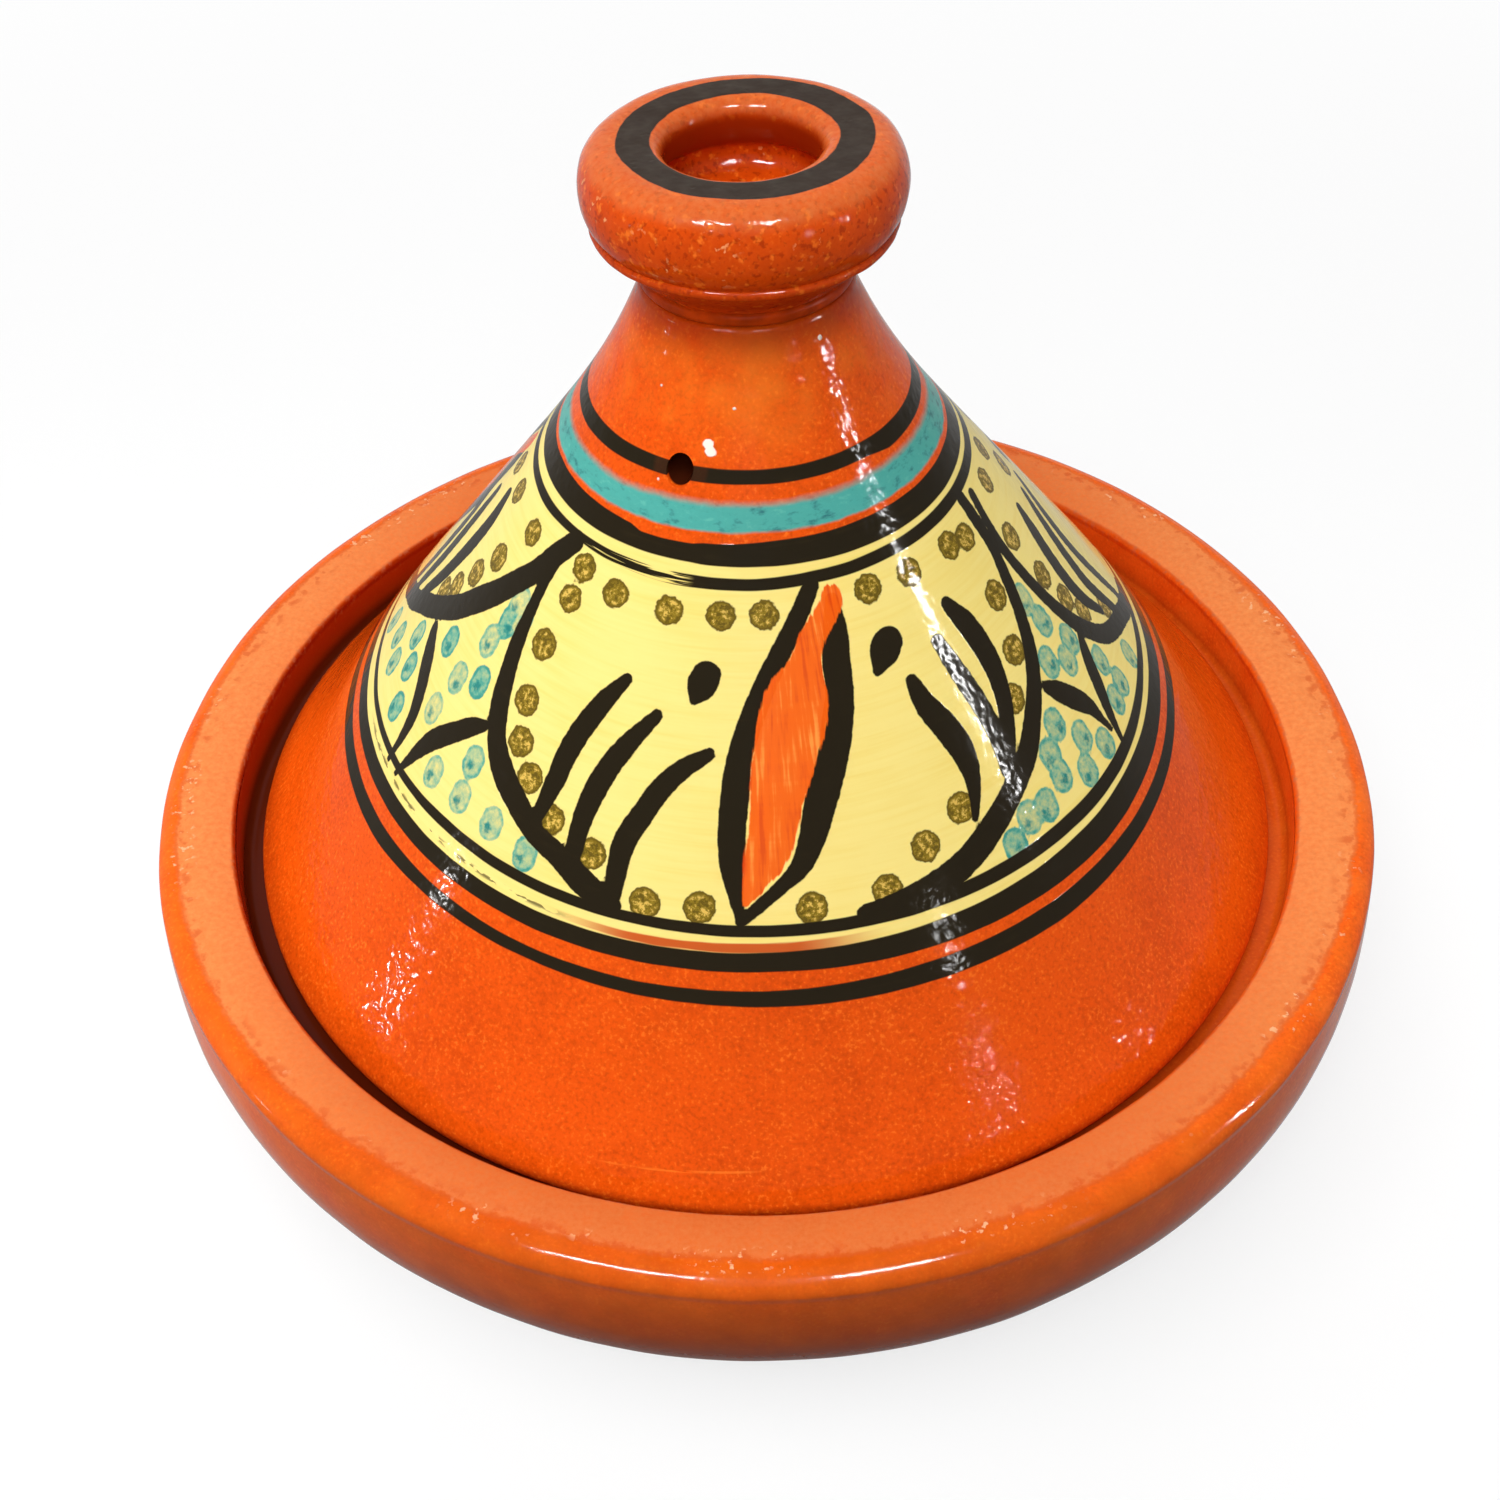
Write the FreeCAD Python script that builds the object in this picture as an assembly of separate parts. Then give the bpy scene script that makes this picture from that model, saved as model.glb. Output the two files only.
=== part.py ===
import FreeCAD, Part
import math
import os

# Tagine pot in thrown earthenware: a round dish whose thick rim holds the lid's edge in a sunken
# seat, and a tall hollow cone of a lid that ends in a hollow knob. Every piece is turned about the
# upright axis. Z is zero on the flat underside of the dish, and the painted front faces -Y.

# Dish, outside
base_height = 56.0
foot_radius = 88.0
belly_radius = 119.0
belly_height = 13.0
wall_depth = 27.0
wall_tuck = 0.6
swell_depth = 12.0
wall_swell = 0.8

# Rim
rim_radius = 136.0
rim_width = 16.6
rim_fall = 1.4
rim_round = 4.0
rim_edge_round = 1.2

# Seat that the lid drops into
seat_depth = 14.0
seat_round = 2.0
ledge_width = 12.5
ledge_round = 1.0
lid_gap = 4.8

# Dish, inside
floor_thickness = 9.0
floor_radius = 60.0
bowl_side_radius = 101.0
bowl_side_height = 18.0

# Lid's edge
lid_foot_width = 8.6
lid_edge_round = 3.6
lid_bore_round = 1.5
edge_slope_angle = 42.0

# Cone of the lid, as radii and as heights above the seat
flare_radius = 101.0
flare_rise = 20.2
skirt_radius = 90.0
skirt_rise = 35.0
shoulder_radius = 43.1
shoulder_rise = 95.5
collar_radius = 30.6
collar_rise = 112.8
neck_radius = 19.9
neck_rise = 134.5
neck_round = 1.6
cone_wall = 7.0
cone_slope_angle = 52.0
crown_thickness = 13.0

# Steam hole, bored level through the cone
steam_hole_diameter = 5.2
steam_hole_rise = 111.7
steam_hole_turn = -24.6

# Joint between cone and knob
stem_radius = 16.2
luting_height = 2.7
luting_width = 3.2
luting_round = 1.2
luting_clearance = 0.3

# Knob, as radii and as heights above its own foot
knob_foot_radius = 19.6
trim_radius = 26.8
trim_rise = 9.8
trim_bead = 0.9
knob_radius = 29.2
knob_swell_rise = 17.2
knob_shoulder_radius = 26.9
knob_shoulder_rise = 24.0
knob_top_radius = 22.2
knob_height = 25.6

# Hollow of the knob
mouth_radius = 13.8
lip_round = 3.4
cup_radius = 17.6
cup_swell_rise = 15.4
cup_floor_radius = 9.0
cup_floor_rise = 9.6


def at(radius, height):
    """Place a profile point on the X side of the axis."""
    return FreeCAD.Vector(radius, 0, height)


def line(start, end):
    return Part.LineSegment(start, end).toShape()


def arc(start, middle, end):
    return Part.Arc(start, middle, end).toShape()


def curve(points, start_way=None, end_way=None):
    """Draw a smooth curve through the points, with set directions at the ends where given."""
    spline = Part.BSplineCurve()
    if start_way is None:
        spline.interpolate(Points=points)
    else:
        spline.interpolate(Points=points, InitialTangent=start_way, FinalTangent=end_way)
    return spline.toShape()


def corner(centre, radius, first_angle, last_angle):
    """Draw a rounded corner about a centre, from one angle above the level to another."""
    def around(angle):
        turn = math.radians(angle)
        return centre + at(radius * math.cos(turn), radius * math.sin(turn))
    return arc(around(first_angle), around((first_angle + last_angle) / 2), around(last_angle))


def first(edge):
    return edge.valueAt(edge.FirstParameter)


def last(edge):
    return edge.valueAt(edge.LastParameter)


def turned(edges):
    """Join the drawn edges in order with straight lines, close the outline and turn it once."""
    outline = []
    for edge, following in zip(edges, edges[1:] + edges[:1]):
        outline.append(edge)
        gap = last(edge).distanceToPoint(first(following))
        if gap > Part.Precision.confusion():
            outline.append(line(last(edge), first(following)))
    face = Part.Face(Part.Wire(outline))
    return face.revolve(FreeCAD.Vector(), FreeCAD.Vector(0, 0, 1), 360)


down = at(0, -1)
level_in = at(-1, 0)
level_out = at(1, 0)

seat_height = base_height - seat_depth
seat_radius = rim_radius - rim_width
ledge_radius = seat_radius - ledge_width
lid_radius = seat_radius - lid_gap
neck_top = seat_height + neck_rise


def make_dish():
    """Dish with a swelling outer wall, a thick sloping rim, the lid's seat and a round bowl."""
    underside = line(at(0, 0), at(foot_radius, 0))
    wall = curve([
        at(foot_radius, 0),
        at(belly_radius, belly_height),
        at(rim_radius - wall_tuck, base_height - wall_depth),
        at(rim_radius + wall_swell, base_height - swell_depth),
        at(rim_radius, base_height - rim_round),
    ])
    rim_outside = corner(at(rim_radius - rim_round, base_height - rim_round), rim_round, 0, 90)
    rim_inside = corner(
        at(seat_radius + rim_edge_round, base_height - rim_fall - rim_edge_round), rim_edge_round, 90, 180
    )
    seat_corner = corner(at(seat_radius - seat_round, seat_height + seat_round), seat_round, 0, -90)
    ledge_edge = corner(at(ledge_radius + ledge_round, seat_height - ledge_round), ledge_round, 90, 180)
    bowl = curve(
        [
            at(ledge_radius, seat_height - ledge_round),
            at(bowl_side_radius, bowl_side_height),
            at(floor_radius, floor_thickness),
        ],
        down,
        level_in,
    )
    bowl_floor = line(at(floor_radius, floor_thickness), at(0, floor_thickness))
    return turned([underside, wall, rim_outside, rim_inside, seat_corner, ledge_edge, bowl, bowl_floor])


def make_cone():
    """Hollow cone that flares out to a rounded edge and is closed below the knob."""
    edge_centre = at(lid_radius - lid_edge_round, seat_height + lid_edge_round)
    edge = corner(edge_centre, lid_edge_round, -90, edge_slope_angle)
    neck_edge = corner(at(neck_radius - neck_round, neck_top - neck_round), neck_round, 0, 90)
    bends = [
        at(flare_radius, seat_height + flare_rise),
        at(skirt_radius, seat_height + skirt_rise),
        at(shoulder_radius, seat_height + shoulder_rise),
        at(collar_radius, seat_height + collar_rise),
    ]
    outside = curve([last(edge)] + bends + [first(neck_edge)])
    top = line(last(neck_edge), at(0, neck_top))
    lean = math.radians(cone_slope_angle)
    wall = at(cone_wall * math.sin(lean), cone_wall * math.cos(lean))
    down_the_cone = at(math.cos(lean), -math.sin(lean))
    bore_centre = at(lid_radius - lid_foot_width + lid_bore_round, seat_height + lid_bore_round)
    bore_edge = corner(bore_centre, lid_bore_round, 270 - cone_slope_angle, 270)
    hollow = curve(
        [at(0, neck_top - crown_thickness)]
        + [bend - wall for bend in reversed(bends)]
        + [first(bore_edge)],
        level_out,
        down_the_cone,
    )
    cone = turned([edge, outside, neck_edge, top, hollow, bore_edge])
    drill = Part.makeCylinder(
        steam_hole_diameter / 2, lid_radius, FreeCAD.Vector(), FreeCAD.Vector(0, -1, 0)
    )
    drill.rotate(FreeCAD.Vector(), FreeCAD.Vector(0, 0, 1), steam_hole_turn)
    drill.translate(FreeCAD.Vector(0, 0, seat_height + steam_hole_rise))
    return cone.cut(drill).Solids[0]


def make_luting():
    """Ring of clay worked into the joint, between the cone's flat top and the knob's foot."""
    inner = stem_radius + luting_clearance
    outer = inner + luting_width
    ring_top = neck_top + luting_height
    low = corner(at(outer - luting_round, neck_top + luting_round), luting_round, -90, 0)
    high = corner(at(outer - luting_round, ring_top - luting_round), luting_round, 0, 90)
    bore = line(at(inner, ring_top), at(inner, neck_top))
    return turned([low, high, bore])


def make_knob():
    """Round hollow knob on a short stem, with a trimmed underside and an inward turned lip."""
    foot = neck_top + luting_height
    top = foot + knob_height - luting_height
    stem = line(at(0, neck_top), at(stem_radius, neck_top))
    step = line(at(stem_radius, foot), at(knob_foot_radius, foot))
    trim = at(trim_radius, neck_top + trim_rise)
    trim_edge = arc(
        trim,
        trim + at(trim_bead, trim_bead / 2),
        trim + at(trim_bead / 2, trim_bead * 2),
    )
    body = curve([
        last(trim_edge),
        at(knob_radius, neck_top + knob_swell_rise),
        at(knob_shoulder_radius, neck_top + knob_shoulder_rise),
        at(knob_top_radius, top),
    ])
    lip = corner(at(mouth_radius + lip_round, top - lip_round), lip_round, 90, 180)
    cup = curve(
        [
            last(lip),
            at(cup_radius, neck_top + cup_swell_rise),
            at(cup_floor_radius, neck_top + cup_floor_rise),
        ],
        down,
        level_in,
    )
    cup_floor = line(last(cup), at(0, neck_top + cup_floor_rise))
    return turned([stem, step, trim_edge, body, lip, cup, cup_floor])


pieces = {
    "base_dish": make_dish(),
    "lid_cone": make_cone(),
    "luting_ring": make_luting(),
    "lid_knob": make_knob(),
}

os.makedirs("parts", exist_ok=True)
for name, piece in pieces.items():
    piece.exportStep(f"parts/{name}.step")
    print(name, piece.ShapeType, piece.isValid(), round(piece.Volume / 1000, 1), "cm3")
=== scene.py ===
"""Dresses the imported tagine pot: its turned and glazed pieces, the hand-painted lid and a plain studio."""

import math

import bmesh
import bpy
import numpy as np
from bpy.props import FloatProperty, FloatVectorProperty, IntProperty, PointerProperty
from mathutils import Matrix, Vector, noise


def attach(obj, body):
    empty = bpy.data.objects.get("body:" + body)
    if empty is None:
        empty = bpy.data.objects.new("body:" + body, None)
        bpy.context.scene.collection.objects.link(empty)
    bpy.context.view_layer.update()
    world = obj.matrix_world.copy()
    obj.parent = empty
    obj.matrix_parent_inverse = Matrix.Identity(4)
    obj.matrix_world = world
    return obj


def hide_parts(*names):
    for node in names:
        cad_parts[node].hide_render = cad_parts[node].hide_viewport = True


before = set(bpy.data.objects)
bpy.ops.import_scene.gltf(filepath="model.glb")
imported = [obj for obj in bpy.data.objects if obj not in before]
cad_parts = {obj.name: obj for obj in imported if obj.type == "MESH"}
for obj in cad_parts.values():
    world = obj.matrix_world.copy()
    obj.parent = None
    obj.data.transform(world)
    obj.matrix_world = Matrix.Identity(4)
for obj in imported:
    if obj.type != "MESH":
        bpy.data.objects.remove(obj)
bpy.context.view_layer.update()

bl_info = {
    "name": "Tagine Pot",
    "version": (1, 0, 0),
    "blender": (4, 5, 0),
    "location": "View3D > Sidebar > Tagine",
    "description": "Turns, glazes and paints a tagine pot around its packed CAD model",
    "category": "Object",
}

# Millimetres in a metre, then how close points and straight edges have to be, how many slices a turned piece
# is made of, and the sharpest bend that is shaded smooth.
MM = 1000.0
MERGE = 1e-6
RADIAL = 1e-7
SLICES = 8
SHARP = math.radians(38)

# Every brush stroke on the lid is a run of (turn, height, width): degrees round from the front towards
# the right, then millimetres above the table and across the stroke.
FRONT_LEFT_BORDER = (
    (-53.4, 134, 2.4), (-53.9, 129, 2.2), (-53.6, 124, 2.7), (-52.9, 119, 3.5), (-51.7, 114.5, 3.9), (-50.2, 110, 4.5),
    (-47.6, 105.3, 4.4), (-43.8, 101.7, 5), (-39, 98.6, 4.6), (-35.3, 96.2, 4), (-30.1, 94.2, 4.2), (-25.4, 91.7, 4.8),
    (-21, 89.6, 3.6),
)
FRONT_RIGHT_BORDER = (
    (65.4, 137.5, 2.6), (65.2, 133, 2.8), (64.6, 128.5, 2.6), (62.7, 124, 2.9), (60.4, 119, 3), (57.2, 113.5, 3.4),
    (53.8, 109.3, 3.6), (49.6, 105.4, 4.1), (45, 101.4, 4.5), (40, 98.3, 4.6), (34.1, 94.9, 5), (27.8, 91.8, 5),
    (21, 90, 4.7), (13, 89.3, 3),
)
LEFT_BLADES = (
    (
        (-26.2, 122.5, 1.8), (-29.5, 118.5, 3.3), (-32.2, 113.5, 3.9), (-33.6, 109, 4), (-34.3, 104, 3.6),
        (-35.2, 98.5, 2.2),
    ),
    ((-19, 118.5, 1.8), (-22.5, 114.5, 3.1), (-25.4, 110, 3.9), (-27.2, 105, 4), (-28, 100, 3.6), (-28, 94, 3)),
    ((-9, 114, 1.9), (-13, 111.6, 3.1), (-16.4, 108.1, 3.7), (-18.9, 103.6, 3.9), (-20.8, 99, 4), (-21.2, 91.5, 3.2)),
)
RIGHT_BLADES = (
    ((29.5, 120, 2.2), (30.5, 116, 4), (32.8, 111.5, 5), (34.1, 107, 4.6), (33.8, 102.5, 2.9), (32, 97.3, 1)),
    ((37.8, 123.5, 2.4), (39.3, 118, 3.4), (40.7, 112, 3.6), (41, 107, 3.2), (40, 101, 2)),
    ((43.7, 127.5, 2.3), (46, 123, 4.4), (47, 117.5, 4.4), (46.2, 112, 3.8), (44, 107, 3.2), (41, 101.5, 2.4)),
)
LEAF_OUTLINE = (
    (
        (13, 137.3, 2.6), (8.1, 132.3, 3.1), (4, 127.8, 3.4), (1, 123.9, 3.6), (-1.7, 119.2, 3.9), (-3.7, 114, 4.1),
        (-4.4, 109, 4.7), (-4.8, 104, 4.7), (-4.8, 99, 4.3), (-4.4, 95, 2.8), (-3.5, 90, 1.2),
    ),
    (
        (17.3, 134.8, 2), (16.6, 130.2, 4.2), (15.6, 126, 4.8), (15.2, 122, 4.8), (13.7, 117.5, 5.4), (12, 113, 5.4),
        (10.4, 109.7, 5.6), (8.8, 106.3, 5.5), (7.2, 102, 4.6), (5.1, 97.8, 3.4), (2.2, 95, 2.2), (-1, 92.1, 2),
        (-3.5, 89.8, 1.5),
    ),
)
LEAF_FILL = (
    (17.4, 135.4, 3.2), (16.4, 133.8, 3.8), (11.6, 130, 4.2), (8.7, 125.6, 6), (7.4, 123, 9), (6.3, 120, 11.8),
    (4.4, 115, 11.6), (2.8, 110, 9.8), (1.6, 105, 8.4), (0.4, 100, 7.4), (-1.6, 95.4, 3.4), (-2.7, 92.6, 1),
)
INK_DROPS = (
    ((-10.4, 125.2, 4.8), (-11.2, 123.7, 4.8), (-12.6, 121.3, 0.8)),
    ((27.4, 126.6, 5.2), (26, 125.6, 5.4), (23.2, 123, 1)),
)
LEFT_PANEL = (
    (
        (-50.6, 137.6, 4), (-54.8, 133.6, 4.4), (-58, 129.7, 4.4), (-61.6, 126.3, 4.8), (-66, 121.8, 5.2),
        (-70.6, 117.5, 5.4), (-74.4, 113.7, 5.2), (-78.8, 110.2, 4.8), (-83, 107, 4.6), (-87.5, 103.8, 4.4),
        (-92, 100, 4.2), (-97, 96.8, 4), (-100.6, 94.3, 4), (-108, 90.5, 3.5),
    ),
    (
        (-87.5, 130.3, 2.4), (-86.2, 127, 3.6), (-85.8, 123.8, 4.2), (-86.3, 119.3, 4.5), (-87.2, 114.7, 4.2),
        (-88.4, 110, 3.9), (-90, 105.6, 3.4), (-91, 103, 3),
    ),
    ((-95.9, 126, 2.4), (-95.4, 119, 3.6), (-95.3, 110, 3.7), (-96, 103.4, 3.2), (-96.6, 99.7, 2.6)),
    ((-102.5, 122.7, 2.4), (-100.6, 116.5, 3.4), (-100.3, 110, 3.6), (-100.6, 102.5, 3), (-101.3, 96.5, 2.6)),
)
RIGHT_PANEL = (
    (
        (70.4, 136.1, 1.9), (69, 133, 1.9), (67.8, 128.8, 2.2), (67.5, 125, 2.5), (68.2, 120, 2.6), (69.4, 115, 2.8),
        (71.1, 110, 3.3), (73.7, 104.8, 3.8), (77.7, 99.9, 4), (82.3, 97, 4), (87.5, 94.3, 4.2), (93, 91, 4.2),
        (99, 89.6, 3),
    ),
    ((84.7, 124.7, 2), (82.5, 120.6, 3.8), (80.6, 116.1, 3.9), (79.6, 111, 3.8), (80, 106.5, 3.3), (82.4, 101.1, 1.6)),
    ((94.1, 122, 2), (90.9, 118.8, 2.9), (88.1, 114.3, 3.4), (86.3, 109.3, 3.5), (85.6, 104.3, 3.4), (87.5, 96.3, 2.6)),
    ((100, 122, 2), (95, 116.5, 3), (92.2, 110, 3.3), (92, 103.4, 3), (93.4, 93.8, 2.4)),
)
LEFT_SPRIG = (
    (
        (-77.6, 107.2, 1.7), (-76.6, 106.3, 2.9), (-73.1, 103.4, 4.2), (-70.1, 100.2, 4), (-67.9, 96.5, 3.3),
        (-67.2, 92.9, 2.4), (-67.1, 89.4, 1.4), (-67.2, 86.2, 0.6),
    ),
    (
        (-51, 105.8, 1.7), (-53.6, 104, 3.4), (-57.2, 100.4, 4), (-60, 97.2, 4.1), (-61.8, 93.7, 3.2),
        (-63, 90.2, 1.8), (-64.2, 86.2, 0.5),
    ),
)
RIGHT_SPRIG = (
    ((55.3, 107, 1.9), (57.4, 104.6, 3.8), (59.8, 101.3, 4.3), (61.7, 98.3, 3.2), (62.5, 94.9, 1.5), (62.9, 92.4, 0.6)),
    ((70.8, 105.6, 1.9), (68.7, 102.8, 3.2), (66.9, 99, 3.5), (65.2, 94.9, 2.6), (64.2, 91.5, 1.4), (63.7, 89.3, 0.8)),
)

# Edges of each painted ring round the lid, as (turn, lower edge, upper edge).
RINGS = {
    "crown": (
        (-110, 152.2, 154.8), (-70, 152, 154.8), (-40, 152.4, 154.8), (0, 152.6, 154.8), (40, 152.5, 154.9),
        (50, 151.8, 154.9), (80, 152, 155.1), (140, 152.3, 154.9),
    ),
    "wash": (
        (-110, 145.5, 149.6), (-40, 145.4, 149.5), (-30, 145.4, 149.9), (0, 145.7, 150), (30, 145.6, 150.2),
        (50, 145.6, 150.6), (80, 145.6, 150.6), (140, 145.5, 150.1),
    ),
    "upper": (
        (-110, 141, 144.7), (-70, 141, 144.8), (-50, 140.9, 144.5), (-36, 140.9, 144.1), (-32.5, 140.9, 143.5),
        (-17, 140.9, 143.6), (-14, 140.8, 143.9), (10, 140.7, 144.4), (40, 140.7, 144.6), (80, 141, 144.6),
        (140, 140.9, 144.7),
    ),
    "eave": (
        (-110, 137.8, 139.4), (-70, 137.8, 139.4), (-50, 138, 139.3), (-20, 137.4, 139.2), (0, 137.4, 139.1),
        (20, 137.6, 139.5), (40, 137.8, 139.7), (60, 138, 140), (80, 138, 140), (140, 137.8, 139.6),
    ),
    "sill": (
        (-130, 87.4, 89.1), (-80, 87, 88.4), (-65, 87.4, 88.9), (-50, 87.9, 89.7), (-20, 87.8, 89.5), (0, 87.5, 89.3),
        (25, 87.2, 89.4), (45, 86.9, 89.4), (60, 86.8, 89.4), (80, 88, 90), (140, 87.6, 89.5),
    ),
    "lower": (
        (-130, 82, 85), (-80, 81.5, 84.6), (-40, 82.2, 85), (0, 82.3, 85.2), (20, 81.7, 85.3), (50, 81.2, 85.7),
        (80, 82.2, 86.3), (140, 82, 85.4),
    ),
    "skirt": (
        (-130, 76.6, 79.4), (-80, 76, 79.2), (-60, 76.3, 79.3), (-50, 77, 79.4), (-30, 77.4, 79.3), (0, 76.9, 79.4),
        (20, 76.6, 79.7), (40, 76.1, 79.6), (60, 76.7, 79.6), (80, 77.4, 80.1), (140, 76.8, 79.6),
    ),
}

# Dots along the borders, as (turn, height).
FRONT_DOTS = (
    (-44.7, 135), (-45, 130), (-34, 133.7), (-20.3, 133.6), (-8.2, 133.8), (1.5, 133.9), (26.5, 134.8), (38, 134.5),
    (52.2, 134.2), (58.4, 133.2), (-46.5, 121.8), (-45, 113.2), (-42.8, 107.3), (-38.7, 103.2), (-33, 99),
    (-25.3, 96.3), (-16.5, 91.2), (-9, 91.6), (6, 91.4), (16.5, 92), (23.3, 96.5), (30.3, 99.8), (47.5, 109.5),
    (53.2, 115), (56.8, 123.2),
)
LEFT_PANEL_DOTS = (
    (-95, 133.2), (-82.7, 133.5), (-65.9, 133.4), (-72.2, 125.4), (-76.3, 119.7), (-79.9, 114.3), (-83.4, 110.4),
)
RIGHT_PANEL_DOTS = (
    (72.8, 125.9), (73.3, 117.3), (74.7, 111.1), (76.9, 106.3), (84.7, 100.2), (80.1, 134), (92.6, 134.5),
    (97.2, 127.5),
)

# Watery turquoise dots between the panels, as (turn, height, strength of the wash).
LEFT_WASHES = (
    (-57.8, 120.7, 0.9), (-57.5, 124.2, 0.3), (-54.5, 122.4, 0.35), (-59.9, 116.1, 0.45), (-70, 109.5, 0.9),
    (-56.9, 110.2, 0.9), (-62.5, 107.5, 0.45), (-63.9, 100.4, 0.25), (-80.9, 102, 0.65), (-76.6, 98.5, 0.8),
    (-87.4, 95.4, 0.6), (-82.4, 94, 0.6), (-73, 92.9, 0.85), (-94, 92, 0.5), (-56.6, 93.5, 0.4), (-49.5, 94, 0.4),
    (-50, 99.9, 0.6), (-42.3, 93.7, 0.45), (-35.3, 92.3, 0.65),
)
RIGHT_WASHES = (
    (63.1, 118.8, 0.35), (64.1, 113.9, 0.6), (59.2, 109, 0.6), (63.7, 106.2, 0.55), (67.6, 107.7, 0.55),
    (52.7, 101.6, 0.6), (48.9, 98.6, 0.6), (48.8, 94.8, 0.65), (56.5, 96.5, 0.6), (44, 92.8, 0.65), (40.3, 93, 0.5),
    (36.5, 90.5, 0.75), (53.9, 91.9, 0.6), (60.1, 92.1, 0.6), (71.3, 99.8, 0.55), (68.3, 93.8, 0.6), (72.3, 94, 0.55),
    (80, 92.5, 0.4),
)

# Crumbs of pale glaze on the bare top of the cone, as (turn, height, width).
CRUMBS = (
    (-15.9, 158.3, 1.9), (-14.6, 157.2, 1.9), (-6.6, 163.9, 0.5), (-40, 165.2, 0.5), (-31.4, 151.6, 0.7),
    (37, 172.6, 0.8),
)

# Turn and height of the steam hole in degrees and millimetres. The drill that bores it is in metres.
STEAM_HOLE = (-24.6, 153.7)
DRILL_CENTRE = 0.026
DRILL_LENGTH = 0.03
DRILL_SIDES = 40
BORE_MARGIN = 1e-4

# Sizes of the painted marks in millimetres. Dots above UPPER_ROW are the smaller ones.
OLIVE_DOT = 5.6
UPPER_DOT = 5.0
UPPER_ROW = 128.0
WASH_WIDTH = 5.05
WASH_LENGTH = 1.2
POOL_WIDTH = 1.8
POOL_DROP = 0.9
POOL_STRAY = 0.7

# How a stroke is followed: steps between two of its points, how far the paint spreads past its edge, the length
# of the cone's slope for each step up, how far from a stroke the mesh is marked, and the field's least radius.
BRUSH_STEPS = 8
SPREAD = 0.28
SLANT = 1.27
FAR = 9.0
FIELD_RADIUS = 40.0

# The back repeats the front's right half beyond the right panel, and its left half beyond the left panel. The
# first is the turn in degrees, and the others say where the dots of each half begin and end.
PANEL_TURN = 119.0
RIGHT_HALF_FROM = -12
LEFT_HALF_TO = 10

# Heights with fine rows under the paint, the rim's crown and the rows added for it, the top of the foot, and the
# size of the lumps in the dish and the knob. Lengths are in metres.
PAINTED = (0.085, 0.141)
RIM_CREST = 0.126
RIM_FALL = 0.004
RIM_FLAT = 0.004
RIM_FOOT = 0.0532
RIM_ROWS = 5
FOOT_TOP = 0.002
DISH_LUMP = 0.035
KNOB_LUMP = 0.012

# Lamps, as (name, turn, lift, distance, width, height, power): degrees, then metres, then watts. They face the
# axis at the height LAMP_AIM.
FILL_LAMPS = (
    ("key_panel", -36, 68, 1.3, 1.2, 1.0, 14.0),
    ("front_panel", -4, 40, 0.42, 0.14, 0.14, 0.6),
    ("back_panel", 180, 42, 1.3, 1.9, 1.0, 10.0),
    ("left_panel", -78, 8, 0.4, 0.15, 0.15, 0.52),
    ("right_panel", 80, 8, 0.4, 0.15, 0.15, 0.27),
)
GLINT_LAMPS = (
    ("front_left_strip", -31.5, 55, 1.2, 0.33, 0.12, 40.0),
    ("front_right_strip", 19.5, 55, 1.2, 0.25, 0.12, 30.0),
    ("right_window", 71.8, 18.5, 1.0, 0.024, 0.19, 6.0),
    ("right_gap", 42, 15.3, 1.17, 0.016, 0.045, 0.9),
    ("left_window", -79, 4.2, 1.07, 0.02, 0.036, 1.0),
)
LAMP_AIM = 0.1


def colour_of(name, description, default):
    """A colour that a user may change."""
    return FloatVectorProperty(
        name=name, description=description, subtype="COLOR", size=4, min=0, max=1, default=(*default, 1)
    )


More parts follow.
